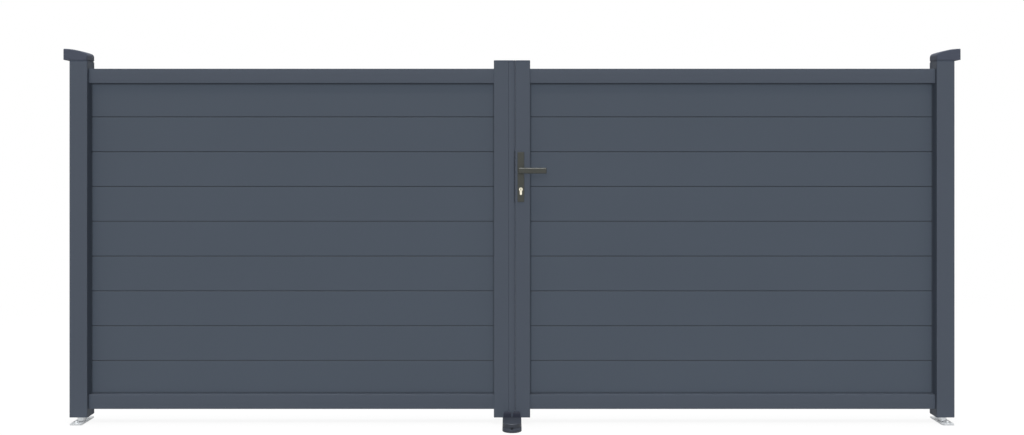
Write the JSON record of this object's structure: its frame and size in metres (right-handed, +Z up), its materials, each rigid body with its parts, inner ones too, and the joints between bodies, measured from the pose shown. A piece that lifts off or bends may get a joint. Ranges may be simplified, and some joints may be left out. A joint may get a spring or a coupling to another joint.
{
  "type": "double swing driveway gate",
  "caption": "Boarded aluminium double swing gate with hinge brackets, ground pivots, a floor stop and a lever lock, for hanging between two pillars.",
  "frame": {"origin": "on the ground at the middle of the opening, on the underside of the floor stop, in the plane of the two pivot axes", "axes": "+X along the opening to the right seen from outside, +Y to the inside, +Z up"},
  "size_m": [4, 0.286, 1.6722],
  "materials": {
    "frame": "anthracite powder coat, fine satin",
    "boards": "anthracite powder coat, fine satin",
    "cast_fitting": "cast aluminium, anthracite powder coat",
    "stop_casting": "cast aluminium, dark grey powder coat",
    "end_plastic": "moulded polyamide in the colour of the frame",
    "furniture": "dark grey-bronze coated aluminium",
    "cylinder_brass": "satin nickel on brass",
    "lock_steel": "brushed stainless",
    "pin_steel": "bright zinc plate",
    "galvanised_steel": "hot-dip galvanised",
    "buffer_rubber": "moulded rubber"
  },
  "bodies": {
    "fixed": {"floor_stop": "stop_casting", "stop_buffers": "buffer_rubber", "left_upper_bracket": "cast_fitting", "left_upper_pin": "pin_steel", "left_ground_pivot": "galvanised_steel", "right_upper_bracket": "cast_fitting", "right_upper_pin": "pin_steel", "right_ground_pivot": "galvanised_steel"},
    "left_leaf": {"left_hinge_stile": "frame", "left_hinge_stile_plugs": "end_plastic", "left_meeting_stile": "frame", "left_meeting_stile_caps": "end_plastic", "left_top_rail": "frame", "left_bottom_rail": "frame", "left_board_1": "boards", "left_board_2": "boards", "left_board_3": "boards", "left_board_4": "boards", "left_board_5": "boards", "left_board_6": "boards", "left_board_7": "boards", "left_board_8": "boards", "left_board_9": "boards", "meeting_strip": "frame", "strike_plate": "lock_steel"},
    "right_leaf": {"right_hinge_stile": "frame", "right_hinge_stile_plugs": "end_plastic", "right_meeting_stile": "frame", "right_meeting_stile_caps": "end_plastic", "right_top_rail": "frame", "right_bottom_rail": "frame", "right_board_1": "boards", "right_board_2": "boards", "right_board_3": "boards", "right_board_4": "boards", "right_board_5": "boards", "right_board_6": "boards", "right_board_7": "boards", "right_board_8": "boards", "right_board_9": "boards", "lock_case": "lock_steel", "lock_cylinder": "cylinder_brass", "lock_front_plate": "furniture", "lock_back_plate": "furniture"},
    "lever": {"front_lever": "furniture", "back_lever": "furniture", "lever_spindle": "lock_steel"}
  },
  "joints": [
    {"name": "left_leaf_swing", "type": "hinge", "parent": "fixed", "child": "left_leaf", "pos_m": [-1.934, 0, 0], "axis": [0, 0, 1], "range_deg": [0, 90]},
    {"name": "right_leaf_swing", "type": "hinge", "parent": "fixed", "child": "right_leaf", "pos_m": [1.934, 0, 0], "axis": [0, 0, -1], "range_deg": [0, 90]},
    {"name": "lever_turn", "type": "hinge", "parent": "right_leaf", "child": "lever", "pos_m": [0.0395, 0, 1.129], "axis": [0, 1, 0], "range_deg": [0, 40], "stiffness_Nm_per_rad": 1, "springref_deg": -34.38}
  ]
}
